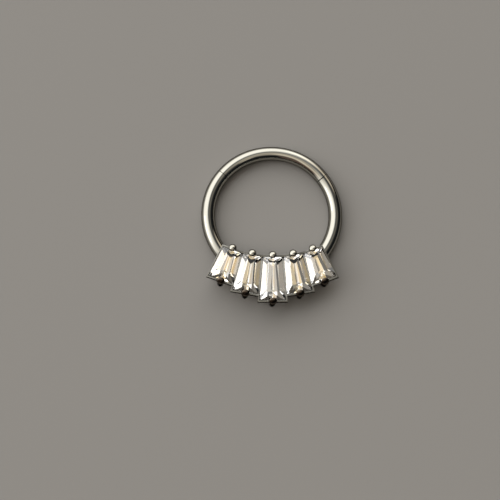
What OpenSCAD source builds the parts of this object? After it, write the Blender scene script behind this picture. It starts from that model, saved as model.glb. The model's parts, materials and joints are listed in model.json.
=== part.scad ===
// Hinged clicker ring for a piercing: a round wire hoop with a hinged top segment,
// and a fan of tapered baguette stones on its front at the bottom.
// The ring lies on its back, its front facing up along +Z. The hoop's centre is the
// origin, the hinged segment is at +Y and the stones are at -Y.

/* [Hoop] */
// Diameter of the round wire: 16 gauge
wire_d = 1.2; // [1.0:0.1:1.3]
// Clear diameter inside the hoop
inner_d = 10; // [9.6:0.1:10.6]

/* [Hinged segment] */
// Where the hinge seam crosses the wire, in degrees from +X
hinge_angle = 36; // [30:1:50]
// Where the catch seam crosses the wire, in degrees from +X
catch_angle = 140.5; // [130:0.5:150]
// Open gap at each seam
seam_gap = 0.05; // [0.03:0.01:0.08]
// Diameter of the hinge pin
pin_d = 0.3; // [0.26:0.01:0.32]
// Thickness of the segment's tongue and of its catch tab
tongue_t = 0.36; // [0.3:0.01:0.4]

/* [Stones] */
// Length of the middle stone
stone_len = 3.76; // [3.7:0.02:4]
// How much shorter each next stone is than the one inside it
len_step = 0.49; // [0.3:0.01:0.5]
// Width of a stone at its narrow end, towards the hoop's centre
stone_w_in = 1.6; // [1.5:0.01:1.62]
// Width of a stone at its wide end
stone_w_out = 2.25; // [2.1:0.01:2.26]
// Height from the ring's back to the top of the stones' girdle
girdle_z = 1.85; // [1.84:0.01:2.2]

/* [Setting] */
// Angle between one stone's axis and the next
fan_pitch = 9.8; // [9.8:0.05:10.2]
// Thickness of the wall round the outside of the stones
wall = 0.16; // [0.14:0.01:0.2]
// Width of the rail along the narrow ends
rail = 0.2; // [0.18:0.01:0.24]
// Diameter of the bead on the end of each prong
bead_d = 0.62; // [0.58:0.01:0.66]

/* [Hidden] */
$fn = 64;

// Hoop
wire_r = wire_d / 2;
ring_r = (inner_d + wire_d) / 2;
full_turn = 360;

// Hinge: the pin lies near the outer side of the wire, just behind the seam
pin_offset = 0.34;                 // from the wire's centre line, outwards
pin_to_seam = 0.2;                 // along the wire, from the pin's axis to the seam
pin_r = pin_d / 2;
pin_reach = ring_r + pin_offset;   // from the hoop's centre to the pin's axis
pin_angle = hinge_angle - asin(pin_to_seam / pin_reach);
press_gap = 0.01;                  // round the pin where the fork holds it
running_gap = 0.03;                // round the pin in the tongue, and beside the tongue
knuckle_r = 0.3;                   // rounded ends of the fork and of the tongue
fork_slot = tongue_t + 2 * running_gap;
hinge_zone = 6;                    // degrees of wire that the hinge takes up
reach = 3;                         // longer than anything it cuts near the hinge

// Catch: a tab on the segment's free end drops into a slot that is open outwards
tab_angle = 4;                     // degrees of wire that the tab covers
tab_floor = -0.1;                  // the tab's inner face, from the wire's centre line

// Fan of stones, on rays that spread from one point near the top of the hoop
STONES = 5;
mid = (STONES - 1) / 2;
fan_focus = 6.4;                   // +Y of that point
fan_r = 10.47;                     // from that point to the stones' narrow ends

// Cut of a stone, from the girdle up to the table and down to the keel
girdle_t = 0.06;
crown_h = 0.28;
crown_side = 0.48;                 // table edge in from the long sides
crown_in = 0.42;                   // and from the narrow end
crown_out = 0.66;                  // and from the wide end
side_slope = 43.8;                 // slope of the pavilion's long facets, in degrees
keel_slope = 38;                   // and of the narrow facets on both sides of the keel
keel_w = 0.15;                     // width of each of those
step_h = 0.38;                     // height of the ends' first facets
step_end = 0.3;                    // and how far in they reach
keel_in = 0.75;                    // keel's end in from the narrow end
keel_out = 1;                      // and from the wide end

// Setting
seat_gap = 0.015;                  // round each stone
rim_z0 = girdle_z - 0.5;           // rim: the upper band of the setting
rim_z1 = girdle_z - girdle_t / 2;
ledge_z = girdle_z - 0.37;         // seat under the girdle
cup_z0 = 0.8;                      // underside of the cups
cup_side = 0.1;                    // cup walls in from the stones' long sides
window = 0.3;                      // opening under a stone, in from its long sides
window_end = 0.22;                 // and from its ends
cut_below = 0.1;                   // the windows cut this far below the cups
slit_w = 0.34;                     // opening between two stones at the narrow ends
slit_len = 0.34;
prong_r = 0.26;
prong_out = 0.16;                  // prong axis beyond the stone's end
bead_up = 0.27;                    // bead's centre above the girdle

// The round wire from one angle to another
module wire_arc(from, to)
    rotate([0, 0, from])
        rotate_extrude(angle = to - from)
            translate([ring_r, 0]) circle(r = wire_r);

// Lifts what is drawn about the wire's middle plane onto the ring's back
module on_wire_plane() translate([0, 0, wire_r]) children();

// Puts x outwards and y along the wire towards the segment, from the pin's axis
module at_pin() rotate([0, 0, pin_angle]) translate([pin_reach, 0, 0]) children();

// A flat slab about the wire's middle plane, near the hinge
module hinge_slab(thickness, y0, y1, x0 = -reach, x1 = reach)
    translate([x0, y0, -thickness / 2]) cube([x1 - x0, y1 - y0, thickness]);

module round_about_pin(r, thickness)
    translate([0, 0, -thickness / 2]) cylinder(r = r, h = thickness);

// A flat ring sector, from one angle to another, between two distances from the wire's line
module arc_slab(from, to, in, out, thickness)
    rotate([0, 0, from])
        rotate_extrude(angle = to - from)
            translate([ring_r + in, -thickness / 2]) square([out - in, thickness]);

// The fork's end: what of the wire past the seam is cut away, but for its knuckle
module past_seam()
    difference() {
        hinge_slab(reach, pin_to_seam - seam_gap / 2, reach);
        round_about_pin(knuckle_r, 2 * reach);
    }

// The hoop's wire, with the hinge's fork at one end and the catch's slot at the other
module hoop_wire()
    on_wire_plane()
        difference() {
            wire_arc(catch_angle - full_turn, pin_angle + hinge_zone);
            at_pin() {
                past_seam();
                hinge_slab(fork_slot, -knuckle_r - 2 * running_gap, reach);
                round_about_pin(pin_r + press_gap, 2 * reach);
            }
            arc_slab(catch_angle - 1, catch_angle + tab_angle + 0.6,
                     tab_floor - running_gap, wire_d, fork_slot);
        }

// What the segment leaves free for the fork: all but the tongue, up to the shoulder
module fork_room()
    difference() {
        union() {
            hinge_slab(reach, -reach, pin_to_seam + seam_gap / 2);
            round_about_pin(knuckle_r + running_gap, reach);
        }
        hinge_slab(tongue_t, -2 * reach, 2 * reach);
    }

// What is cut from behind the tongue, round its knuckle, so that it can turn outwards
module behind_tongue()
    difference() {
        hinge_slab(reach, -reach, pin_to_seam + seam_gap / 2);
        round_about_pin(knuckle_r, 2 * reach);
        hinge_slab(2 * reach, -knuckle_r, reach, -reach, 0);
    }

// What the segment leaves free past the catch's seam: all but the tab
module past_catch()
    difference() {
        arc_slab(catch_angle - asin(seam_gap / ring_r), catch_angle + 3 * tab_angle,
                 -wire_d, wire_d, reach);
        arc_slab(catch_angle - 1, catch_angle + 4 * tab_angle, tab_floor, 2 * wire_d, tongue_t);
    }

// The hinged segment: a tongue at the hinge and a tab at the catch
module gate()
    color("silver")
        on_wire_plane()
            difference() {
                wire_arc(pin_angle - hinge_zone, catch_angle + tab_angle);
                at_pin() {
                    fork_room();
                    behind_tongue();
                    round_about_pin(pin_r + running_gap, 2 * reach);
                }
                past_catch();
            }

// The hinge pin, its ends flush with the wire
module hinge_pin()
    color("gainsboro")
        on_wire_plane()
            intersection() {
                wire_arc(pin_angle - hinge_zone, pin_angle + hinge_zone);
                at_pin() round_about_pin(pin_r, 2 * reach);
            }

// Length of stone i, counted from the left
function len_of(i) = stone_len - len_step * abs(i - mid);

// Half a stone's width at distance y from its narrow end, less an inset
function half_w(len, y, inset) =
    (stone_w_in + (stone_w_out - stone_w_in) * y / len) / 2 - inset;

// A stone's four corners, inset from its long sides and from its narrow and wide ends
function corners(len, side, e_in, e_out) = [
    [-half_w(len, e_in, side), e_in],
    [half_w(len, e_in, side), e_in],
    [half_w(len, len - e_out, side), len - e_out],
    [-half_w(len, len - e_out, side), len - e_out]];

function at_height(points, z) = [for (p = points) [p.x, p.y, z]];

// Puts x across stone i and y along it, from its narrow end outwards
module in_fan(i)
    translate([0, fan_focus, 0])
        rotate([0, 0, 180 + (i - mid) * fan_pitch])
            translate([0, fan_r, 0]) children();

// A straight block with stone i's outline, inset or grown
module stone_block(i, side, e_in, e_out, z0, z1)
    in_fan(i)
        translate([0, 0, z0]) linear_extrude(z1 - z0)
            polygon(corners(len_of(i), side, e_in, e_out));

// Tapered baguette: table, crown facets, girdle, pavilion and a keel that falls towards the
// wide end
module stone(i) {
    len = len_of(i);
    side_fall = tan(side_slope);
    keel_fall = tan(keel_slope);
    low_z = girdle_z - girdle_t;
    step_z = low_z - step_h;
    // Heights where half the stone's width is w: of the upper edge of the keel's facets, and
    // of the keel
    function row_z(w) = low_z - (w - keel_w) * side_fall;
    function keel_z(w) = row_z(w) - keel_w * keel_fall;
    // How far in from an end its lower facet, which the keel ends on so far in, meets that
    // upper edge. Half the end's width is w and grows by so much per millimetre
    function row_end(w, grow, keel_end) =
        let (fall = (step_z - keel_z(w + grow * keel_end)) / (keel_end - step_end))
            (low_z - row_z(w) - step_h + fall * step_end) / (fall - grow * side_fall);
    w_in = half_w(len, 0, 0);
    w_out = half_w(len, len, 0);
    taper = (w_out - w_in) / len;
    row_in = row_end(w_in, taper, keel_in);
    row_out = len - row_end(w_out, -taper, keel_out);
    function row(side, y) = [side * keel_w, y, row_z(half_w(len, y, 0))];
    function keel(y) = [0, y, keel_z(half_w(len, y, 0))];
    points = concat(
        at_height(corners(len, crown_side, crown_in, crown_out), girdle_z + crown_h),
        at_height(corners(len, 0, 0, 0), girdle_z),
        at_height(corners(len, 0, 0, 0), low_z),
        at_height(corners(len, step_h / side_fall, step_end, step_end), step_z),
        [row(-1, row_in), row(1, row_in), row(1, row_out), row(-1, row_out)],
        [keel(keel_in), keel(len - keel_out)]);
    table = [3, 2, 1, 0];
    bands = [for (layer = [0:1], k = [0:3])
        let (a = 4 * layer + k, b = 4 * layer + (k + 1) % 4) [a, b, b + 4, a + 4]];
    end_steps = [[8, 9, 13, 12], [10, 11, 15, 14]];
    long_sides = [[9, 10, 14, 18, 17, 13], [11, 8, 12, 16, 19, 15]];
    lower_ends = [[12, 13, 17, 20, 16], [14, 15, 19, 21, 18]];
    keel_sides = [[17, 18, 21, 20], [19, 16, 20, 21]];
    color("white", 0.5)
        in_fan(i)
            polyhedron(
                points, concat([table], bands, end_steps, long_sides, lower_ends, keel_sides));
}

// A prong's place beyond each end of stone i
module at_prongs(i)
    in_fan(i)
        for (y = [-prong_out, len_of(i) + prong_out])
            translate([0, y, 0]) children();

// Five cups under one rim, open under the stones
module setting_body()
    for (i = [0:STONES - 1]) {
        stone_block(i, -wall, -rail, -wall, rim_z0, rim_z1);
        stone_block(i, cup_side, 0, 0, cup_z0, rim_z0 + 0.1);
        at_prongs(i)
            translate([0, 0, cup_z0]) cylinder(r = prong_r, h = girdle_z + bead_up - cup_z0);
    }

module stone_seats()
    for (i = [0:STONES - 1]) {
        stone_block(i, -seat_gap, -seat_gap, -seat_gap, ledge_z, girdle_z + 0.1);
        stone_block(i, window, window_end, window_end, cup_z0 - cut_below, girdle_z);
    }

// Slits between neighbouring stones, behind the rail
module rail_slits()
    for (i = [0:STONES - 2])
        in_fan(i + 0.5)
            translate([-slit_w / 2, 0, cup_z0]) cube([slit_w, slit_len, girdle_z]);

module beads()
    for (i = [0:STONES - 1])
        at_prongs(i)
            translate([0, 0, girdle_z + bead_up]) sphere(d = bead_d);

// The hoop's wire, the setting and its prongs, soldered into one piece
module hoop_with_setting()
    color("silver") {
        difference() {
            union() {
                hoop_wire();
                setting_body();
            }
            stone_seats();
            rail_slits();
        }
        beads();
    }

hoop_with_setting();
gate();
hinge_pin();
stone(0);  // stone_1
stone(1);  // stone_2
stone(2);  // stone_3
stone(3);  // stone_4
stone(4);  // stone_5
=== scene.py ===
import json
import math

import bpy
from mathutils import Matrix, Vector


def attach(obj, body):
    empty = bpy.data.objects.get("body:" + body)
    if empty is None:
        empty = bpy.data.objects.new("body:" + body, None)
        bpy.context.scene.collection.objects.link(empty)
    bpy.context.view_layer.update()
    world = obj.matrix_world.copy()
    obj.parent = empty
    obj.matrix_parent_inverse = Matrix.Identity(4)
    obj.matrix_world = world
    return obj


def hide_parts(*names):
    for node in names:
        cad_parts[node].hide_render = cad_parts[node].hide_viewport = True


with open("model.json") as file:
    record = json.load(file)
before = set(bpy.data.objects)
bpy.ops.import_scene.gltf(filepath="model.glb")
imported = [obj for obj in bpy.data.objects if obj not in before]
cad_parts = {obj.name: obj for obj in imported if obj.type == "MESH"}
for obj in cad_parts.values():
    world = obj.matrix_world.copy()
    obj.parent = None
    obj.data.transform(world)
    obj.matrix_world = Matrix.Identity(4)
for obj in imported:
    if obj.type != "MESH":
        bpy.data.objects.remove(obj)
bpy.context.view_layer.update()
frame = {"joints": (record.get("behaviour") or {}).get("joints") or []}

bl_info = {
    "name": "Clicker Ring",
    "version": (1, 0, 0),
    "blender": (4, 5, 0),
    "location": "View3D > Sidebar > Ring",
    "description": "Dresses a hinged clicker ring with its polished wire, its setting and its stones",
    "category": "Object",
}

MM = 0.001
# Pieces are shaped in millimetres and brought to metres when they are finished
IN_MM = 1 / MM
HINGE = frame["joints"][0]
TURN = 2 * math.pi


# Settings that a user would change


class HoopSizes(bpy.types.PropertyGroup):
    """The round wire, its hinge and its catch"""

    wire_d: bpy.props.FloatProperty(
        name="Wire Diameter", description="Diameter of the round wire", default=1.2 * MM,
        precision=5, unit="LENGTH")
    inner_d: bpy.props.FloatProperty(
        name="Inside Diameter", description="Clear diameter inside the hoop", default=10 * MM,
        precision=5, unit="LENGTH")
    hinge_angle: bpy.props.FloatProperty(
        name="Hinge Seam", description="Where the hinge seam crosses the wire, from +X",
        default=math.radians(36), subtype="ANGLE")
    catch_angle: bpy.props.FloatProperty(
        name="Catch Seam", description="Where the catch seam crosses the wire, from +X",
        default=math.radians(140.5), subtype="ANGLE")
    seam_gap: bpy.props.FloatProperty(
        name="Seam Gap", description="Open gap at the catch seam", default=0.05 * MM,
        precision=5, unit="LENGTH")
    hinge_gap: bpy.props.FloatProperty(
        name="Hinge Gap", description="Open gap at the seam beside the hinge",
        default=0.09 * MM, precision=5, unit="LENGTH")
    pin_d: bpy.props.FloatProperty(
        name="Pin Diameter", description="Diameter of the hinge pin", default=0.3 * MM,
        precision=5, unit="LENGTH")
    tongue_t: bpy.props.FloatProperty(
        name="Tongue Thickness", description="Thickness of the segment's tongue and tab",
        default=0.36 * MM, precision=5, unit="LENGTH")


class StoneSizes(bpy.types.PropertyGroup):
    """The fan of tapered baguettes and the cups that hold them"""

    length: bpy.props.FloatProperty(
        name="Middle Length", description="Length of the middle stone", default=3.76 * MM,
        precision=5, unit="LENGTH")
    length_step: bpy.props.FloatProperty(
        name="Length Step", description="How much shorter each next stone is",
        default=0.49 * MM, precision=5, unit="LENGTH")
    narrow: bpy.props.FloatProperty(
        name="Narrow End", description="Width of a stone towards the hoop's centre",
        default=1.6 * MM, precision=5, unit="LENGTH")
    wide: bpy.props.FloatProperty(
        name="Wide End", description="Width of a stone at its outer end", default=2.25 * MM,
        precision=5, unit="LENGTH")
    girdle_z: bpy.props.FloatProperty(
        name="Girdle Height", description="Height of the girdle's top above the ring's back",
        default=1.85 * MM, precision=5, unit="LENGTH")
    pitch: bpy.props.FloatProperty(
        name="Fan Pitch", description="Angle between one stone's axis and the next",
        default=math.radians(9.8), subtype="ANGLE")
    bead_d: bpy.props.FloatProperty(
        name="Bead Diameter", description="Diameter of the bead that ends each prong",
        default=0.62 * MM, precision=5, unit="LENGTH")


class RingFinish(bpy.types.PropertyGroup):
    """Colours and polish"""

    metal: bpy.props.FloatVectorProperty(
        name="Metal", description="Colour of the polished titanium",
        default=(0.415, 0.405, 0.363), min=0, max=1, subtype="COLOR")
    polish: bpy.props.FloatProperty(
        name="Metal Roughness", description="0 is a perfect mirror", default=0.07,
        min=0, max=1, subtype="FACTOR")
    # The darker colour that the setting's rims take between the rim heights
    skin: bpy.props.FloatVectorProperty(
        name="Rim Skin", description="Colour of the setting's unpolished rims",
        default=(0.2, 0.195, 0.178), min=0, max=1, subtype="COLOR")
    stone: bpy.props.FloatVectorProperty(
        name="Stone", description="Tint of the clear stones", default=(1.0, 1.0, 1.0),
        min=0, max=1, subtype="COLOR")
    # Painted shade: the colour that darkens the beads at the stones' wide ends, standing in for the
    # dark room they reflect
    outer_bead_shade: bpy.props.FloatVectorProperty(
        name="Outer Bead", description="Colour of the duller beads at the stones' wide ends",
        default=(0.1, 0.082, 0.066), min=0, max=1, subtype="COLOR")
    # Painted light: the colour painted into the stones in streaks, standing in for the coloured light
    # of dispersion
    painted_fire: bpy.props.FloatVectorProperty(
        name="Fire", description="Colour of the streaks of fire in the stones",
        default=(1.0, 0.8, 0.42), min=0, max=1, subtype="COLOR")
    # Painted light: the colours and strength of the blue and pink sparkles painted into the stones
    painted_glint_blue: bpy.props.FloatVectorProperty(
        name="Blue Glint", description="Colour of the cold glints in the stones",
        default=(0.75, 0.9, 1.0), min=0, max=1, subtype="COLOR")
    painted_glint_pink: bpy.props.FloatVectorProperty(
        name="Pink Glint", description="Colour of the warm glints in the stones",
        default=(1.0, 0.84, 0.9), min=0, max=1, subtype="COLOR")
    painted_glints: bpy.props.FloatProperty(
        name="Glints", description="Strength of the coloured glints", default=0.25, min=0,
        max=1)
    stone_ior: bpy.props.FloatProperty(
        name="Stone IOR", description="Refractive index of the stones", default=2.16,
        min=1, max=3)
    floor: bpy.props.FloatVectorProperty(
        name="Floor", description="Colour of the floor", default=(0.228, 0.221, 0.213),
        min=0, max=1, subtype="COLOR")


class StageSettings(bpy.types.PropertyGroup):
    """Camera and lights"""

    azimuth: bpy.props.FloatProperty(
        name="Camera Azimuth", description="Round the ring, 0 looks along +Y",
        default=math.radians(-8.4), subtype="ANGLE")
    elevation: bpy.props.FloatProperty(
        name="Camera Elevation", description="Above the floor", default=math.radians(77.3),
        subtype="ANGLE")
    lens: bpy.props.FloatProperty(
        name="Lens", description="Focal length in millimetres", default=100)
    view_width: bpy.props.FloatProperty(
        name="View Width", description="Width of what the camera sees at the ring",
        default=43.98 * MM, precision=5, unit="LENGTH")
    window_turn: bpy.props.FloatProperty(
        name="Window Side", description="Direction of the room's bright side, from +X",
        default=math.radians(134), subtype="ANGLE")
    window_power: bpy.props.FloatProperty(
        name="Window Strength", description="Brightness of the bright side", default=2.4)
    window_colour: bpy.props.FloatVectorProperty(
        name="Window Colour", description="Colour of the room's bright side",
        default=(1.0, 0.98, 0.94), min=0, max=1, subtype="COLOR")
    ceiling_power: bpy.props.FloatProperty(
        name="Ceiling Strength", description="Brightness straight overhead", default=0.13)
    ceiling_colour: bpy.props.FloatVectorProperty(
        name="Ceiling Colour", description="Colour of the light from above",
        default=(0.84, 0.93, 1.0), min=0, max=1, subtype="COLOR")
    warm_colour: bpy.props.FloatVectorProperty(
        name="Warm Colour", description="Colour of the warm things round the ring",
        default=(1.0, 0.88, 0.71), min=0, max=1, subtype="COLOR")


# Shader maths


class Socket:
    """A node tree's output, which works as a number in Python expressions"""

    def __init__(self, tree, out):
        self.tree = tree
        self.out = out

    def math(self, operation, a, b):
        return add_node(self.tree, "ShaderNodeMath", {"operation": operation}, [a, b])

    def __add__(self, other):
        return self.math("ADD", self, other)

    __radd__ = __add__

    def __mul__(self, other):
        return self.math("MULTIPLY", self, other)

    __rmul__ = __mul__

    def __sub__(self, other):
        return self.math("SUBTRACT", self, other)

    def __rsub__(self, other):
        return self.math("SUBTRACT", other, self)


def add_node(tree, kind, settings=None, inputs=None, output=0):
    """Adds a node: its settings first, then its sockets' values or links"""
    node = tree.nodes.new(kind)
    for name, value in (settings or {}).items():
        setattr(node, name, value)
    pairs = inputs.items() if isinstance(inputs, dict) else enumerate(inputs or [])
    for key, value in pairs:
        if isinstance(value, Socket):
            tree.links.new(value.out, node.inputs[key])
        else:
            node.inputs[key].default_value = value
    return Socket(tree, node.outputs[output]) if node.outputs else None


def ease(tree, value, start, end, low=0.0, high=1.0):
    """Goes smoothly from low at start to high at end"""
    return add_node(
        tree, "ShaderNodeMapRange", {"interpolation_type": "SMOOTHSTEP"},
        {"Value": value, "From Min": start, "From Max": end, "To Min": low, "To Max": high})


def mix_colour(tree, factor, a, b):
    """Goes from colour a to colour b, which are sockets or three numbers each"""
    a, b = (c if isinstance(c, Socket) else (*c, 1) for c in (a, b))
    return add_node(
        tree, "ShaderNodeMix", {"data_type": "RGBA"}, {"Factor": factor, "A": a, "B": b},
        output="Result")


def new_material(name):
    material = bpy.data.materials.new(name)
    material.use_nodes = True
    tree = material.node_tree
    tree.nodes.clear()
    return material, tree


def finish_material(tree, shader):
    add_node(tree, "ShaderNodeOutputMaterial", inputs={"Surface": shader})


def noise(tree, places, per_mm, detail=3.0):
    """Noise from 0 to 1, with so many features to the millimetre"""
    return add_node(
        tree, "ShaderNodeTexNoise",
        inputs={"Vector": places, "Scale": per_mm / MM, "Detail": detail})


def object_places(tree):
    return add_node(tree, "ShaderNodeTexCoord", output="Object")


def polished_metal(name, finish, rims=None, shaded_beads=(), bead_r=0.0):
    """Mirror polish with a faint orange peel and uneven gloss from handling. Between the two
    heights in rims the metal is darker and rougher, and the beads at the places in shaded_beads
    are painted darker, as shade that stands in for the dark room they reflect, and are rougher"""
    haze_per_mm, haze_tone, haze_gloss = 0.9, 0.6, 0.06
    darker = [c * 0.9 for c in finish.metal]
    rim_darkening_edge, rim_darkening_gloss = 0.05 * MM, 0.2
    bead_shade_edge, bead_shade_core, bead_gloss = 1.25 * bead_r, 1.1 * bead_r, 0.12
    peel_per_mm, peel_depth = 2.2, 0.01 * MM
    # Painted shade: a near-black edge tint that darkens the metal's grazing reflections, standing in
    # for dark surroundings where the floor would show
    edge_shade_tint = (0.05, 0.05, 0.05, 1)

    material, tree = new_material(name)
    places = object_places(tree)
    haze = noise(tree, places, haze_per_mm)
    peel = noise(tree, places, peel_per_mm, detail=1.0)
    tone = mix_colour(tree, haze * haze_tone, finish.metal, darker)
    roughness = haze * haze_gloss + (finish.polish - haze_gloss / 2)
    if rims:
        z = add_node(tree, "ShaderNodeSeparateXYZ", inputs=[places], output="Z")
        low, high = rims
        # Darker and rougher between the rim heights
        skin = ease(tree, z, low, low + rim_darkening_edge) * ease(tree, z, high + rim_darkening_edge, high)
        tone = mix_colour(tree, skin, tone, finish.skin)
        roughness = roughness + skin * rim_darkening_gloss
    # Painted shade on the beads at the stones' wide ends: their colour goes darker, standing in for
    # the dark room they reflect, and they are also made rougher
    for place in shaded_beads:
        off = add_node(
            tree, "ShaderNodeVectorMath", {"operation": "DISTANCE"}, [places, place],
            output="Value")
        bead_shade_mask = ease(tree, off, bead_shade_edge, bead_shade_core)
        tone = mix_colour(tree, bead_shade_mask, tone, finish.outer_bead_shade)
        roughness = roughness + bead_shade_mask * bead_gloss
    normal = add_node(
        tree, "ShaderNodeBump",
        inputs={"Height": peel, "Strength": 0.12, "Distance": peel_depth})
    shader = add_node(
        tree, "ShaderNodeBsdfPrincipled",
        inputs={"Base Color": tone, "Metallic": 1.0, "Roughness": roughness,
                "Specular Tint": edge_shade_tint, "Normal": normal})
    finish_material(tree, shader)
    return material


# Painted streaks of dispersion colours: the stone, where across it from 0 to 1, half the
# streak's width in the same measure, and its strength
PAINTED_FIRE_STREAKS = (
    (0, 0.56, 0.13, 0.8), (0, 0.86, 0.12, 1.0), (1, 0.4, 0.14, 0.9), (2, 0.54, 0.045, 0.8),
    (3, 0.33, 0.15, 1.0), (4, 0.1, 0.1, 0.3), (4, 0.54, 0.1, 1.0), (4, 0.8, 0.07, 0.5),
)


def clear_stone(name, finish, fan):
    """Colourless cubic zirconia, with the faintest smear from handling on its facets,
    painted streaks of dispersion colours that spread from the fan's focus and faint painted blue
    and pink sparkles"""
    smear_per_mm, smear_tone, smear_gloss = 1.3, 0.1, 0.015
    streak_core = 0.3
    hue_per_mm, painted_glint_per_mm = 2.6, 1.7

    material, tree = new_material(name)
    places = object_places(tree)
    smear = noise(tree, places, smear_per_mm)
    x = add_node(tree, "ShaderNodeSeparateXYZ", inputs=[places], output="X")
    y = add_node(tree, "ShaderNodeSeparateXYZ", inputs=[places], output="Y")
    angle = x.math("ARCTAN2", x, fan.focus * MM - y)
    spread = 2 * math.atan(fan.half_w(fan.length, 0) / fan.radius)
    # The smear tints the stone faintly at random; the streaks added to it are painted dispersion
    # colours
    painted_fire = smear * smear_tone
    for i, across, half, strength in PAINTED_FIRE_STREAKS:
        middle = (i - fan.mid) * fan.pitch + (across - 0.5) * spread
        off = angle - middle
        off = off.math("ABSOLUTE", off, 0)
        edge = half * spread
        painted_fire = painted_fire + ease(tree, off, edge, streak_core * edge) * strength
    tone = mix_colour(tree, painted_fire, finish.stone, finish.painted_fire)
    # Painted blue and pink sparkles, patches of coloured light painted into the stone's tint
    hue = ease(tree, noise(tree, places, hue_per_mm, detail=1.0), 0.4, 0.6)
    painted_glint = mix_colour(tree, hue, finish.painted_glint_blue, finish.painted_glint_pink)
    where = ease(tree, noise(tree, places, painted_glint_per_mm, detail=0.0), 0.45, 0.65)
    tone = mix_colour(tree, where * finish.painted_glints, tone, painted_glint)
    shader = add_node(
        tree, "ShaderNodeBsdfPrincipled",
        inputs={"Base Color": tone, "Transmission Weight": 1.0, "IOR": finish.stone_ior,
                "Roughness": smear * smear_gloss})
    finish_material(tree, shader)
    return material


def floor_paint(name, finish):
    """Matt paint on a plain floor, a little uneven"""
    patches_per_mm, vary = 0.02, 0.03
    darkest = [c * (1 - vary) for c in finish.floor]
    lightest = [min(c * (1 + vary), 1) for c in finish.floor]
    least_rough, more_rough = 0.65, 0.1

    material, tree = new_material(name)
    uneven = noise(tree, object_places(tree), patches_per_mm)
    tone = mix_colour(tree, uneven, darkest, lightest)
    shader = add_node(
        tree, "ShaderNodeBsdfPrincipled",
        inputs={"Base Color": tone, "Roughness": least_rough + uneven * more_rough})
    finish_material(tree, shader)
    return material


# Modelling


def deselect():
    bpy.ops.object.select_all(action="DESELECT")


def active():
    return bpy.context.view_layer.objects.active


def make_only(piece):
    """Selects one object alone and makes it the active one"""
    deselect()
    piece.select_set(True)
    bpy.context.view_layer.objects.active = piece


def set_place(piece, matrix):
    """Moves an object and puts its place into its mesh"""
    make_only(piece)
    piece.matrix_world = matrix @ piece.matrix_world
    bpy.ops.object.transform_apply(location=True, rotation=True, scale=True)


def edit(piece):
    make_only(piece)
    bpy.ops.object.mode_set(mode="EDIT")
    bpy.ops.mesh.select_all(action="SELECT")


def end_edit():
    bpy.ops.object.mode_set(mode="OBJECT")


def choose_vertices(piece, test):
    """In edit mode, selects the vertices whose place passes the test"""
    end_edit()
    for p in (*piece.data.polygons, *piece.data.edges):
        p.select = False
    for v in piece.data.vertices:
        v.select = test(v.co)
    bpy.ops.object.mode_set(mode="EDIT")


def apply_modifier(piece, kind, **settings):
    make_only(piece)
    modifier = piece.modifiers.new(kind.title(), kind)
    for name, value in settings.items():
        setattr(modifier, name, value)
    bpy.ops.object.modifier_apply(modifier=modifier.name)


def combine(piece, others, operation):
    """Joins other solids to a piece or cuts them from it, all at once so that flush faces
    stay closed, and uses them up"""
    tools = bpy.data.collections.new("tools")
    bpy.context.scene.collection.children.link(tools)
    for other in others:
        for home in list(other.users_collection):
            home.objects.unlink(other)
        tools.objects.link(other)
    apply_modifier(
        piece, "BOOLEAN", operand_type="COLLECTION", collection=tools, operation=operation,
        solver="EXACT")
    for other in others:
        bpy.data.objects.remove(other)
    bpy.data.collections.remove(tools)
    return piece


def join_solids(piece, *others):
    return combine(piece, others, "UNION")


def cut_solids(piece, *others):
    return combine(piece, others, "DIFFERENCE")


def common_solid(piece, other):
    return combine(piece, [other], "INTERSECT")


def block(size, centre, matrix=Matrix()):
    """A cuboid of that size round a centre"""
    deselect()
    bpy.ops.mesh.primitive_cube_add(size=1, location=centre, scale=size)
    piece = active()
    set_place(piece, matrix)
    return piece


def upright(radius, z0, z1, matrix=Matrix(), sides=64):
    """A cylinder along Z between two heights"""
    deselect()
    bpy.ops.mesh.primitive_cylinder_add(
        vertices=sides, radius=radius, depth=z1 - z0, location=(0, 0, (z0 + z1) / 2))
    piece = active()
    set_place(piece, matrix)
    return piece


def copies(shape, places):
    """Copies an object to every place, each copy with its own mesh, and uses it up"""
    pieces = []
    for matrix in places:
        make_only(shape)
        bpy.ops.object.duplicate()
        pieces.append(active())
        set_place(active(), matrix)
    bpy.data.objects.remove(shape)
    return pieces


def spun(start, angle, steps):
    """In edit mode, spins the outline that is selected anticlockwise about Z and closes its
    ends. The operator turns clockwise about its axis, so that points down"""
    bpy.ops.mesh.spin(steps=steps, angle=angle, center=(0, 0, 0), axis=(0, 0, -1))
    bpy.ops.mesh.select_all(action="DESELECT")
    bpy.ops.mesh.select_non_manifold()
    bpy.ops.mesh.fill_holes(sides=0)
    bpy.ops.mesh.select_all(action="SELECT")
    bpy.ops.mesh.remove_doubles(threshold=1e-5)
    bpy.ops.mesh.normals_make_consistent(inside=False)
    end_edit()
    set_place(active(), Matrix.Rotation(start, 4, "Z"))
    return active()


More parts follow.
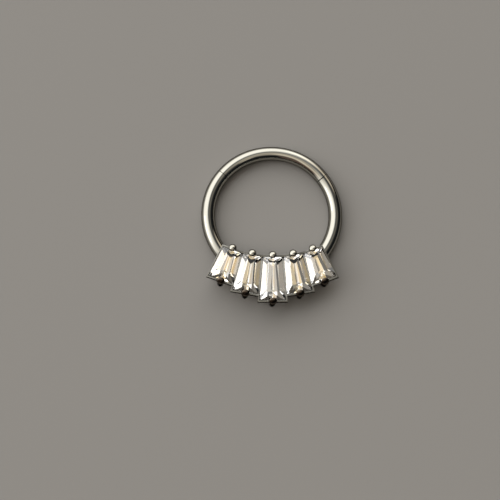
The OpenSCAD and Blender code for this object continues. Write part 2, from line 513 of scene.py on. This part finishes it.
class Hoop:
    """The wire's sizes in millimetres, and the solids that its ends are cut with"""

    knuckle_r = 0.3
    running_gap = 0.03
    press_gap = 0.01
    pin_to_seam = 0.2
    hinge_zone = math.radians(6)
    tab_angle = math.radians(4)
    tab_play = math.radians(0.6)
    tab_floor = -0.1
    # How far a cutting tool goes past what it cuts, along the wire and about the hinge
    overrun = math.radians(1)
    reach = 3.0
    wire_sides = 72
    turn_steps = 300

    def __init__(self, sizes):
        self.wire_r = sizes.wire_d * IN_MM / 2
        self.ring_r = (sizes.inner_d + sizes.wire_d) * IN_MM / 2
        self.gap = sizes.seam_gap * IN_MM
        self.hinge_gap = sizes.hinge_gap * IN_MM
        self.pin_r = sizes.pin_d * IN_MM / 2
        self.tongue_t = sizes.tongue_t * IN_MM
        self.slot = self.tongue_t + 2 * self.running_gap
        self.hinge = sizes.hinge_angle
        self.catch = sizes.catch_angle
        pin = Vector(HINGE["pos_m"]) * IN_MM
        self.pin_angle = math.atan2(pin.y, pin.x)
        self.at_pin = (
            Matrix.Rotation(self.pin_angle, 4, "Z")
            @ Matrix.Translation((pin.xy.length, 0, self.wire_r)))

    def steps(self, start, end):
        return max(8, round((end - start) / TURN * self.turn_steps))

    def wire(self, start, end):
        """The round wire from one angle to another"""
        deselect()
        bpy.ops.mesh.primitive_circle_add(
            vertices=self.wire_sides, radius=self.wire_r, fill_type="NOTHING",
            location=(self.ring_r, 0, self.wire_r), rotation=(math.pi / 2, 0, 0))
        piece = active()
        set_place(piece, Matrix())
        edit(piece)
        return spun(start, end - start, self.steps(start, end))

    def sector(self, start, end, inside, outside, thickness):
        """A flat ring sector between two distances from the wire's centre line"""
        deselect()
        bpy.ops.mesh.primitive_plane_add(
            size=1, location=(self.ring_r + (inside + outside) / 2, 0, self.wire_r),
            rotation=(math.pi / 2, 0, 0))
        piece = active()
        piece.scale = (outside - inside, thickness, 1)
        set_place(piece, Matrix())
        edit(piece)
        bpy.ops.mesh.delete(type="ONLY_FACE")
        bpy.ops.mesh.select_all(action="SELECT")
        return spun(start, end - start, self.steps(start, end))

    def slab(self, thickness, y0, y1, x0=None, x1=None):
        """A flat slab about the wire's middle plane, at the hinge"""
        x0 = -self.reach if x0 is None else x0
        x1 = self.reach if x1 is None else x1
        return block(
            (x1 - x0, y1 - y0, thickness), ((x0 + x1) / 2, (y0 + y1) / 2, 0), self.at_pin)

    def about_pin(self, radius):
        return upright(radius, -self.reach, self.reach, self.at_pin)

    def lower_wire(self):
        """The hoop's wire, with the fork at one end and the catch's slot at the other"""
        catch = self.catch - TURN
        piece = self.wire(catch, self.pin_angle + self.hinge_zone)
        past_seam = cut_solids(
            self.slab(self.reach, self.pin_to_seam - self.hinge_gap / 2, self.reach),
            self.about_pin(self.knuckle_r))
        slot = self.slab(self.slot, -self.knuckle_r - 2 * self.running_gap, self.reach)
        catch_slot = self.sector(
            catch - self.overrun, catch + self.tab_angle + self.tab_play,
            self.tab_floor - self.running_gap, 2 * self.wire_r, self.slot)
        return cut_solids(
            piece, past_seam, slot, self.about_pin(self.pin_r + self.press_gap), catch_slot)

    def segment(self):
        """The hinged segment, with its tongue at the hinge and its tab at the catch"""
        piece = self.wire(self.pin_angle - self.hinge_zone, self.catch + self.tab_angle)
        shoulder = self.pin_to_seam + self.hinge_gap / 2
        long = 4 * self.reach
        fork_room = cut_solids(
            join_solids(
                self.slab(self.reach, -self.reach, shoulder),
                self.about_pin(self.knuckle_r + self.running_gap)),
            self.slab(self.tongue_t, -long, long, -long, long))
        behind_tongue = cut_solids(
            self.slab(self.reach, -self.reach, shoulder),
            self.about_pin(self.knuckle_r),
            self.slab(long, -self.knuckle_r, self.reach, -long, 0))
        tab_room = cut_solids(
            self.sector(
                self.catch - math.asin(self.gap / self.ring_r),
                self.catch + 3 * self.tab_angle, -2 * self.wire_r, 2 * self.wire_r, self.reach),
            self.sector(
                self.catch - self.overrun, self.catch + 4 * self.tab_angle,
                self.tab_floor, 3 * self.wire_r, self.tongue_t))
        return cut_solids(
            piece, fork_room, behind_tongue,
            self.about_pin(self.pin_r + self.running_gap), tab_room)

    def pin(self):
        """The hinge pin, its ends flush with the wire"""
        return common_solid(
            self.wire(self.pin_angle - self.hinge_zone, self.pin_angle + self.hinge_zone),
            self.about_pin(self.pin_r))


class Fan:
    """The fan's sizes in millimetres, and the solids of its stones and cups"""

    count = 5
    focus = 6.4
    radius = 10.47
    girdle_t = 0.06
    crown_h = 0.28
    crown_side = 0.48
    crown_in = 0.42
    crown_out = 0.66
    side_slope = math.radians(43.8)
    keel_slope = math.radians(38)
    keel_w = 0.15
    step_h = 0.38
    step_end = 0.3
    keel_in = 0.75
    keel_out = 1.0
    wall = 0.16
    rail = 0.2
    rim_h = 0.5
    ledge_drop = 0.37
    seat_gap = 0.015
    overlap = 0.1
    cup_z0 = 0.8
    cup_side = 0.1
    window = 0.3
    window_end = 0.22
    cut_below = 0.1
    slit = 0.34
    prong_r = 0.26
    prong_out = 0.16
    bead_up = 0.27
    # How wide and how flat each bead is pressed and how it slopes away from its stone, at the
    # stones' narrow ends and at their wide ends
    bead_in = (1.08, 0.7, math.radians(-20))
    bead_out = (1.15, 0.5, math.radians(40))
    eased = 0.02

    def __init__(self, sizes):
        self.length = sizes.length * IN_MM
        self.length_step = sizes.length_step * IN_MM
        self.narrow = sizes.narrow * IN_MM
        self.wide = sizes.wide * IN_MM
        self.girdle_z = sizes.girdle_z * IN_MM
        self.pitch = sizes.pitch
        self.bead_r = sizes.bead_d * IN_MM / 2
        self.mid = (self.count - 1) / 2
        self.rim_z0 = self.girdle_z - self.rim_h
        self.rim_z1 = self.girdle_z - self.girdle_t / 2
        self.ledge_z = self.girdle_z - self.ledge_drop
        self.bead_top = Vector((0, 0, self.girdle_z + self.bead_up))

    def len_of(self, i):
        return self.length - self.length_step * abs(i - self.mid)

    def place(self, i):
        """Puts x across stone i and y along it, from its narrow end outwards"""
        return (
            Matrix.Translation((0, self.focus, 0))
            @ Matrix.Rotation(math.pi + (i - self.mid) * self.pitch, 4, "Z")
            @ Matrix.Translation((0, self.radius, 0)))

    def half_w(self, length, y, inset=0.0):
        return (self.narrow + (self.wide - self.narrow) * y / length) / 2 - inset

    def tapered(self, length, side, e_in, e_out, z0, z1):
        """A straight block with a stone's outline, inset or grown"""
        y0, y1 = e_in, length - e_out
        w0 = 2 * self.half_w(length, y0, side)
        w1 = 2 * self.half_w(length, y1, side)
        centre = (0, (y0 + y1) / 2, (z0 + z1) / 2)
        piece = block((w1, y1 - y0, z1 - z0), centre)
        edit(piece)
        choose_vertices(piece, lambda p: p.y < centre[1])
        bpy.ops.transform.resize(value=(w0 / w1, 1, 1), center_override=(0, y0, 0))
        end_edit()
        return piece

    def for_stones(self, make):
        """Makes a shape once for each length of stone and copies it to the stones that have
        it. Gives the copies from left to right"""
        placed = {}
        for step in range(math.ceil(self.count / 2)):
            same = [i for i in range(self.count) if abs(i - self.mid) == step]
            shape = make(self.length - self.length_step * step)
            placed.update(zip(same, copies(shape, [self.place(i) for i in same])))
        return [placed[i] for i in range(self.count)]

    def tapered_for_stones(self, *sizes):
        return self.for_stones(lambda length: self.tapered(length, *sizes))

    def prong_places(self):
        """The prongs' places at the stones' narrow ends, then at their wide ends"""
        return [
            [self.place(i) @ Matrix.Translation((0, y, 0)) for i, y in enumerate(ends)]
            for ends in (
                [-self.prong_out] * self.count,
                [self.len_of(i) + self.prong_out for i in range(self.count)])]

    def cups(self):
        """Five cups under one rim, open under the stones, with their edges eased"""
        piece = join_solids(
            *self.tapered_for_stones(
                -self.wall, -self.rail, -self.wall, self.rim_z0, self.rim_z1),
            *self.tapered_for_stones(
                self.cup_side, 0, 0, self.cup_z0, self.rim_z0 + self.overlap))
        cut_solids(piece, *self.seats(), *self.windows(), *self.slits())
        apply_modifier(
            piece, "BEVEL", width=self.eased, segments=2, limit_method="ANGLE",
            angle_limit=math.radians(40), use_clamp_overlap=True)
        return piece

    def prongs(self):
        """The prongs' stems, clear of the stones"""
        stem = upright(
            self.prong_r, self.cup_z0, self.girdle_z + self.bead_up, sides=32)
        narrow, wide = self.prong_places()
        piece = join_solids(*copies(stem, narrow + wide))
        return cut_solids(piece, *self.seats(), *self.windows())

    def seats(self):
        """The room that the stones' girdles take in the rim"""
        gap = -self.seat_gap
        return self.tapered_for_stones(
            gap, gap, gap, self.ledge_z, self.girdle_z + self.overlap)

    def windows(self):
        """The openings under the stones"""
        return self.tapered_for_stones(
            self.window, self.window_end, self.window_end, self.cup_z0 - self.cut_below,
            self.girdle_z)

    def slits(self):
        """The gaps between the stones' narrow ends"""
        shape = block(
            (self.slit, self.slit, self.girdle_z),
            (0, self.slit / 2, self.cup_z0 + self.girdle_z / 2))
        return copies(shape, [self.place(i + 0.5) for i in range(self.count - 1)])

    def bead(self, wide, flat, slope):
        """A bead pressed flatter, so a little wider, and sloping"""
        deselect()
        bpy.ops.mesh.primitive_uv_sphere_add(segments=32, ring_count=16, radius=self.bead_r)
        piece = active()
        edit(piece)
        bpy.ops.transform.resize(
            value=(wide, wide, flat), center_override=(0, 0, 0))
        end_edit()
        set_place(piece, Matrix.Translation(self.bead_top) @ Matrix.Rotation(-slope, 4, "X"))
        return piece

    def beads(self):
        """The beads that end the prongs"""
        narrow, wide = self.prong_places()
        return (
            copies(self.bead(*self.bead_in), narrow) + copies(self.bead(*self.bead_out), wide))

    def cut_stone(self, length):
        """Cuts one tapered baguette from a block, facet by facet"""
        top = self.girdle_z + self.crown_h
        girdle_low = self.girdle_z - self.girdle_t
        step_z = girdle_low - self.step_h
        taper = (self.wide - self.narrow) / 2 / length
        side_fall = math.tan(self.side_slope)
        keel_fall = math.tan(self.keel_slope)
        piece = block(
            (2 * self.wide, length, 4 * self.girdle_z), (0, length / 2, self.girdle_z))
        edit(piece)

        def facet(at, across, up):
            """Cuts off what lies outside the plane through a point, facing that way"""
            bpy.ops.mesh.select_all(action="SELECT")
            bpy.ops.mesh.bisect(
                plane_co=at, plane_no=Vector((*across, up)).normalized(), use_fill=True,
                clear_outer=True, threshold=1e-6)

        def sides(z, slope):
            """Cuts both long sides from a height, at a slope"""
            for sign in (-1, 1):
                facet((sign * self.narrow / 2, 0, z), (sign, -taper), slope)

        def ends(inset, z, slope_in, slope_out):
            """Cuts both ends from a height so far in, each at its own slope"""
            facet((0, inset, z), (0, -1), slope_in)
            facet((0, length - inset, z), (0, 1), slope_out)

        def keel_z(y):
            """The keel's height at a distance from the narrow end"""
            rest = self.half_w(length, y) - self.keel_w
            return girdle_low - rest * side_fall - self.keel_w * keel_fall

        def end_slope(y, inset):
            """The slope of an end's lower facet, which meets the keel so far in, at y"""
            return (self.step_end - inset) / (step_z - keel_z(y))

        sides(self.girdle_z, 0)
        facet((0, 0, top), (0, 0), 1)
        sides(self.girdle_z, self.crown_side / self.crown_h)
        ends(0, self.girdle_z, self.crown_in / self.crown_h, self.crown_out / self.crown_h)
        sides(girdle_low, -1 / side_fall)
        for sign in (-1, 1):
            facet((0, 0, keel_z(0)), (sign * keel_fall, -taper * side_fall), -1)
        step_slope = -self.step_end / self.step_h
        ends(0, girdle_low, step_slope, step_slope)
        ends(
            self.step_end, step_z, end_slope(self.keel_in, self.keel_in),
            end_slope(length - self.keel_out, self.keel_out))
        bpy.ops.mesh.select_all(action="SELECT")
        bpy.ops.mesh.remove_doubles(threshold=1e-5)
        bpy.ops.mesh.normals_make_consistent(inside=False)
        end_edit()
        return piece


def finish_piece(piece, name, body, nodes, material, smooth=30):
    """Brings a piece to metres, gives it its finish and hangs it on its body"""
    set_place(piece, Matrix.Scale(MM, 4))
    piece.name = name
    piece.data.name = name
    if smooth:
        bpy.ops.object.shade_smooth_by_angle(angle=math.radians(smooth))
    piece.data.materials.clear()
    piece.data.materials.append(material)
    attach(piece, body)
    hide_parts(*nodes)
    return piece


class RING_OT_hoop(bpy.types.Operator):
    """Model the hoop's wire with its soldered setting, prongs and beads"""

    bl_idname = "ring.hoop"
    bl_label = "Hoop and Setting"
    bl_options = {"REGISTER", "UNDO"}

    def execute(self, context):
        scene = context.scene
        hoop, fan = Hoop(scene.ring_hoop), Fan(scene.ring_stones)
        wire = cut_solids(hoop.lower_wire(), *fan.windows())
        piece = join_solids(wire, fan.cups(), fan.prongs(), *fan.beads())
        # The beads at the stones' wide ends, which get painted shade
        shaded_bead_places = [place @ fan.bead_top * MM for place in fan.prong_places()[1]]
        finish_piece(
            piece, "polished_hoop", "hoop", ["hoop_with_setting"],
            polished_metal(
                "hoop_titanium", scene.ring_finish,
                (fan.rim_z0 * MM, (fan.rim_z1 + fan.eased) * MM), shaded_bead_places,
                fan.bead_r * MM))
        return {"FINISHED"}


class RING_OT_gate(bpy.types.Operator):
    """Model the hinged segment with its tongue and tab"""

    bl_idname = "ring.gate"
    bl_label = "Hinged Segment"
    bl_options = {"REGISTER", "UNDO"}

    def execute(self, context):
        scene = context.scene
        piece = Hoop(scene.ring_hoop).segment()
        finish_piece(
            piece, "polished_gate", "gate", ["gate"],
            polished_metal("gate_titanium", scene.ring_finish))
        return {"FINISHED"}


class RING_OT_pin(bpy.types.Operator):
    """Model the hinge pin"""

    bl_idname = "ring.pin"
    bl_label = "Hinge Pin"
    bl_options = {"REGISTER", "UNDO"}

    def execute(self, context):
        scene = context.scene
        piece = Hoop(scene.ring_hoop).pin()
        finish_piece(
            piece, "polished_pin", "hoop", ["hinge_pin"],
            polished_metal("pin_titanium", scene.ring_finish))
        return {"FINISHED"}


class RING_OT_stones(bpy.types.Operator):
    """Cut the fan of tapered baguettes"""

    bl_idname = "ring.stones"
    bl_label = "Stones"
    bl_options = {"REGISTER", "UNDO"}

    def execute(self, context):
        scene = context.scene
        fan = Fan(scene.ring_stones)
        material = clear_stone("zirconia", scene.ring_finish, fan)
        for number, piece in enumerate(fan.for_stones(fan.cut_stone), 1):
            finish_piece(
                piece, f"baguette_{number}", "hoop", [f"stone_{number}"], material,
                smooth=0)
        return {"FINISHED"}


class RING_OT_stage(bpy.types.Operator):
    """Set the floor, the lights and the camera"""

    bl_idname = "ring.stage"
    bl_label = "Stage"
    bl_options = {"REGISTER", "UNDO"}

    # Warm parts of the room: the azimuth from +X and the elevation of each, the angle from its
    # middle to where it has faded away, and its strength
    WARM = (
        (262, 74, 32, 0.62), (250, 67, 13, 0.6), (309, 52.5, 8, 0.6), (335, 62, 18, 0.15),
        (20, 63, 17, 0.2), (218, 51, 17, 0.9), (56, 33, 22, 1.05))
    # The part of that angle within which it is at full strength
    warm_core = 0.4
    # Lamps that face the ring: the name, azimuth from +X, elevation, distance, size, power and
    # colour of each
    LAMPS = (
        ("warm_fill", 235, 32, 0.5, (0.45, 0.25), 0.06, (1.0, 0.66, 0.5)),
        ("side_lamp", 180, 33.5, 0.5, (0.2, 0.1), 0.16, (1.0, 1.0, 1.0)))
    # How tightly the light from overhead keeps to the zenith, how much of it spreads over the
    # upper half of the room, and what is left in the dark
    zenith_power = 14
    overhead_spread = 0.35
    dimmest = 0.015
    floor_size = 4
    # The picture's width, and how far right of its middle and above it the ring's centre
    # stands, in pixels
    picture_px = 500
    ring_right_px = 21.8
    ring_up_px = 35.1

    @staticmethod
    def way_to(azimuth, elevation):
        a, e = math.radians(azimuth), math.radians(elevation)
        return Vector((math.cos(a) * math.cos(e), math.sin(a) * math.cos(e), math.sin(e)))

    def softbox(self, name, azimuth, elevation, distance, size, power, colour):
        """An area light that faces the ring"""
        back = self.way_to(azimuth, elevation)
        light = bpy.data.lights.new(name, "AREA")
        light.shape = "RECTANGLE"
        light.size, light.size_y = size
        light.energy = power
        light.color = colour
        lamp = bpy.data.objects.new(name, light)
        lamp.location = back * distance
        lamp.rotation_mode = "QUATERNION"
        lamp.rotation_quaternion = back.to_track_quat("Z", "Y")
        bpy.context.scene.collection.objects.link(lamp)

    def room(self, scene, stage):
        """A room that is bright on its window's side and dark on the other"""
        world = bpy.data.worlds.new("room")
        world.use_nodes = True
        tree = world.node_tree
        tree.nodes.clear()
        way = add_node(tree, "ShaderNodeTexCoord", output="Generated")

        def along(direction):
            return add_node(
                tree, "ShaderNodeVectorMath", {"operation": "DOT_PRODUCT"}, [way, direction],
                output="Value")

        up = add_node(tree, "ShaderNodeSeparateXYZ", inputs=[way], output="Z")
        window = along(self.way_to(math.degrees(stage.window_turn), 0))
        window = ease(tree, window, 0.08, 0.45) * ease(tree, up, -0.1, 0.4, low=0.1)
        spread = ease(tree, up, 0.3, 1) * self.overhead_spread
        overhead = up.math("POWER", up, self.zenith_power) + spread
        warm = 0
        for azimuth, elevation, fade, strength in self.WARM:
            near = along(self.way_to(azimuth, elevation))
            start, full = (math.cos(math.radians(fade) * k) for k in (1, self.warm_core))
            warm = ease(tree, near, start, full) * strength + warm
        parts = [
            add_node(tree, "ShaderNodeBackground", inputs={"Color": (*colour, 1), "Strength": k})
            for colour, k in (
                (stage.window_colour, window * stage.window_power),
                (stage.ceiling_colour, overhead * stage.ceiling_power + self.dimmest),
                (stage.warm_colour, warm))]
        light = parts[0]
        for part in parts[1:]:
            light = add_node(tree, "ShaderNodeAddShader", inputs=[light, part])
        add_node(tree, "ShaderNodeOutputWorld", inputs={"Surface": light})
        scene.world = world

    def camera(self, scene, stage, aim_z):
        """A camera at the stage's angle, with the ring where the picture has it"""
        a, e = stage.azimuth, stage.elevation
        back = Vector((math.sin(a) * math.cos(e), -math.cos(a) * math.cos(e), math.sin(e)))
        right = Vector((0, 1, 0)).cross(back).normalized()
        up = back.cross(right)
        pixel = stage.view_width / self.picture_px
        aim = Vector((0, 0, aim_z)) - (right * self.ring_right_px + up * self.ring_up_px) * pixel
        data = bpy.data.cameras.new("camera")
        data.lens = stage.lens
        data.clip_start, data.clip_end = 0.005, 20
        camera = bpy.data.objects.new("camera", data)
        turn = Matrix((right, up, back)).transposed().to_4x4()
        distance = stage.view_width * stage.lens / data.sensor_width
        camera.matrix_world = Matrix.Translation(aim + back * distance) @ turn
        scene.collection.objects.link(camera)
        scene.camera = camera

    def execute(self, context):
        scene = context.scene
        stage = scene.ring_stage
        deselect()
        bpy.ops.mesh.primitive_plane_add(size=self.floor_size)
        floor = active()
        floor.name = "floor"
        floor.data.materials.append(floor_paint("floor_paint", scene.ring_finish))
        for lamp in self.LAMPS:
            self.softbox(*lamp)
        self.room(scene, stage)
        self.camera(scene, stage, Hoop(scene.ring_hoop).wire_r * MM)
        scene.view_settings.view_transform = "Standard"
        return {"FINISHED"}


class RING_PT_panel(bpy.types.Panel):
    """The ring's pieces, sizes and finish"""

    bl_label = "Clicker Ring"
    bl_idname = "RING_PT_panel"
    bl_space_type = "VIEW_3D"
    bl_region_type = "UI"
    bl_category = "Ring"

    def draw(self, context):
        for operator in OPERATORS:
            self.layout.operator(operator.bl_idname)
        for name in SETTINGS:
            group = getattr(context.scene, name)
            box = self.layout.box()
            for setting in group.__annotations__:
                box.prop(group, setting)


OPERATORS = (RING_OT_hoop, RING_OT_gate, RING_OT_pin, RING_OT_stones, RING_OT_stage)
SETTINGS = {
    "ring_hoop": HoopSizes,
    "ring_stones": StoneSizes,
    "ring_finish": RingFinish,
    "ring_stage": StageSettings,
}


def register():
    for group in SETTINGS.values():
        bpy.utils.register_class(group)
    for name, group in SETTINGS.items():
        setattr(bpy.types.Scene, name, bpy.props.PointerProperty(type=group))
    for operator in OPERATORS:
        bpy.utils.register_class(operator)
    bpy.utils.register_class(RING_PT_panel)


def unregister():
    bpy.utils.unregister_class(RING_PT_panel)
    for operator in reversed(OPERATORS):
        bpy.utils.unregister_class(operator)
    for name in SETTINGS:
        delattr(bpy.types.Scene, name)
    for group in SETTINGS.values():
        bpy.utils.unregister_class(group)


def main():
    register()
    bpy.ops.ring.hoop()
    bpy.ops.ring.gate()
    bpy.ops.ring.pin()
    bpy.ops.ring.stones()
    bpy.ops.ring.stage()


if __name__ == "__main__":
    main()
